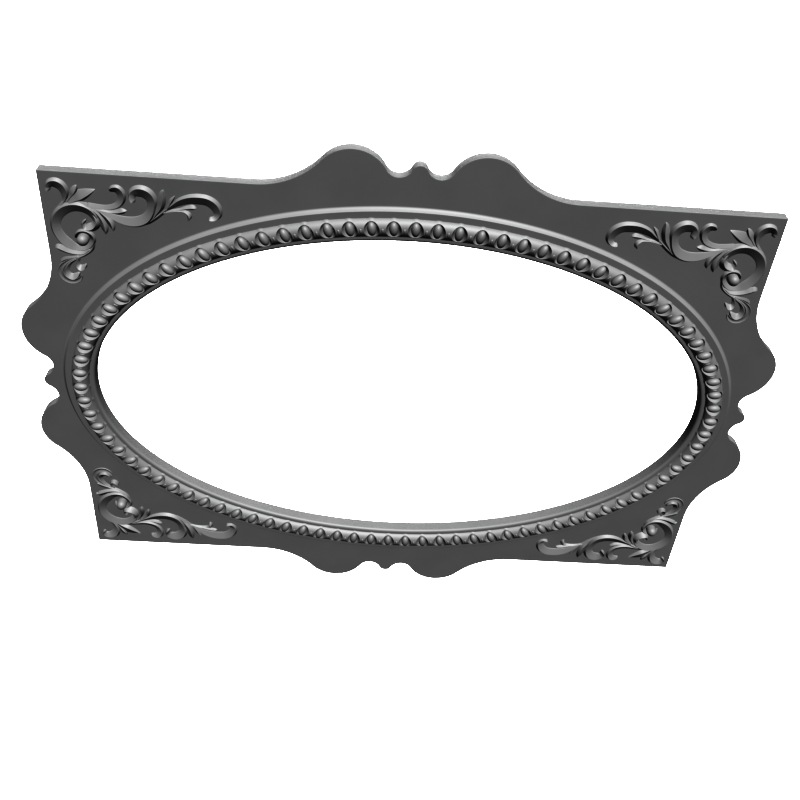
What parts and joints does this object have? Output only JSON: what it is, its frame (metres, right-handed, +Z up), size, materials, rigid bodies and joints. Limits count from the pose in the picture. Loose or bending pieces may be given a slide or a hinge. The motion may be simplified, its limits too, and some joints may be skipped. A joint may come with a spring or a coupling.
{
  "type": "oval mirror frame",
  "caption": "Wide wall-hung mirror frame with an oval opening, an egg-and-dart moulding, corner scrollwork, lobed edges and turn buttons on the back.",
  "frame": {"origin": "middle of the oval opening, on the plane of the board's back", "axes": "+Z up, +X to the right as seen from the front, +Y back towards the wall"},
  "size_m": [1.184, 0.044, 0.8508],
  "materials": {
    "painted_board": "satin graphite grey paint on joined board",
    "painted_moulding": "satin graphite grey paint on turned moulding",
    "painted_casting": "satin graphite grey paint on cast composition",
    "plywood": "raw birch plywood",
    "plated_steel": "bright zinc plate",
    "rubber": "matt black rubber"
  },
  "bodies": {
    "frame": {"rail_top": "painted_board", "rail_bottom": "painted_board", "stile_left": "painted_board", "stile_right": "painted_board", "mitre_tongue_top_right": "plywood", "mitre_tongue_top_left": "plywood", "mitre_tongue_bottom_left": "plywood", "mitre_tongue_bottom_right": "plywood", "oval_moulding_top_right": "painted_moulding", "oval_moulding_top_left": "painted_moulding", "oval_moulding_bottom_left": "painted_moulding", "oval_moulding_bottom_right": "painted_moulding", "egg_and_dart_top_right": "painted_casting", "egg_and_dart_top_left": "painted_casting", "egg_and_dart_bottom_left": "painted_casting", "egg_and_dart_bottom_right": "painted_casting", "corner_ornament_top_right": "painted_casting", "corner_ornament_top_left": "painted_casting", "corner_ornament_bottom_left": "painted_casting", "corner_ornament_bottom_right": "painted_casting", "turn_button_screw_top_right_1": "plated_steel", "turn_button_screw_top_right_2": "plated_steel", "turn_button_screw_top_left_1": "plated_steel", "turn_button_screw_top_left_2": "plated_steel", "turn_button_screw_bottom_left_1": "plated_steel", "turn_button_screw_bottom_left_2": "plated_steel", "turn_button_screw_bottom_right_1": "plated_steel", "turn_button_screw_bottom_right_2": "plated_steel", "hanger_strap_left": "plated_steel", "hanger_screw_left_1": "plated_steel", "hanger_screw_left_2": "plated_steel", "hanger_strap_right": "plated_steel", "hanger_screw_right_1": "plated_steel", "hanger_screw_right_2": "plated_steel", "wall_bumper_left": "rubber", "wall_bumper_right": "rubber"},
    "button_top_right_1": {"turn_button_top_right_1": "plated_steel"},
    "button_top_right_2": {"turn_button_top_right_2": "plated_steel"},
    "button_top_left_1": {"turn_button_top_left_1": "plated_steel"},
    "button_top_left_2": {"turn_button_top_left_2": "plated_steel"},
    "button_bottom_left_1": {"turn_button_bottom_left_1": "plated_steel"},
    "button_bottom_left_2": {"turn_button_bottom_left_2": "plated_steel"},
    "button_bottom_right_1": {"turn_button_bottom_right_1": "plated_steel"},
    "button_bottom_right_2": {"turn_button_bottom_right_2": "plated_steel"},
    "ring_left": {"hanger_ring_left": "plated_steel"},
    "ring_right": {"hanger_ring_right": "plated_steel"}
  },
  "joints": [
    {"name": "button_top_right_1_turn", "type": "hinge", "parent": "frame", "child": "button_top_right_1", "pos_m": [0.47616, 0.0011, 0.10826], "axis": [0, 1, 0], "continuous": true},
    {"name": "button_top_right_2_turn", "type": "hinge", "parent": "frame", "child": "button_top_right_2", "pos_m": [0.20511, 0.0011, 0.28549], "axis": [0, 1, 0], "continuous": true},
    {"name": "button_top_left_1_turn", "type": "hinge", "parent": "frame", "child": "button_top_left_1", "pos_m": [-0.47616, 0.0011, 0.10826], "axis": [0, 1, 0], "continuous": true},
    {"name": "button_top_left_2_turn", "type": "hinge", "parent": "frame", "child": "button_top_left_2", "pos_m": [-0.20511, 0.0011, 0.28549], "axis": [0, 1, 0], "continuous": true},
    {"name": "button_bottom_left_1_turn", "type": "hinge", "parent": "frame", "child": "button_bottom_left_1", "pos_m": [-0.47616, 0.0011, -0.10826], "axis": [0, 1, 0], "continuous": true},
    {"name": "button_bottom_left_2_turn", "type": "hinge", "parent": "frame", "child": "button_bottom_left_2", "pos_m": [-0.20511, 0.0011, -0.28549], "axis": [0, 1, 0], "continuous": true},
    {"name": "button_bottom_right_1_turn", "type": "hinge", "parent": "frame", "child": "button_bottom_right_1", "pos_m": [0.47616, 0.0011, -0.10826], "axis": [0, 1, 0], "continuous": true},
    {"name": "button_bottom_right_2_turn", "type": "hinge", "parent": "frame", "child": "button_bottom_right_2", "pos_m": [0.20511, 0.0011, -0.28549], "axis": [0, 1, 0], "continuous": true},
    {"name": "ring_left_swing", "type": "hinge", "parent": "frame", "child": "ring_left", "pos_m": [-0.4716, 0.0032, 0.2421], "axis": [1, 0, 0], "range_deg": [0, 180]},
    {"name": "ring_right_swing", "type": "hinge", "parent": "frame", "child": "ring_right", "pos_m": [0.4716, 0.0032, 0.2421], "axis": [1, 0, 0], "range_deg": [0, 180]}
  ]
}
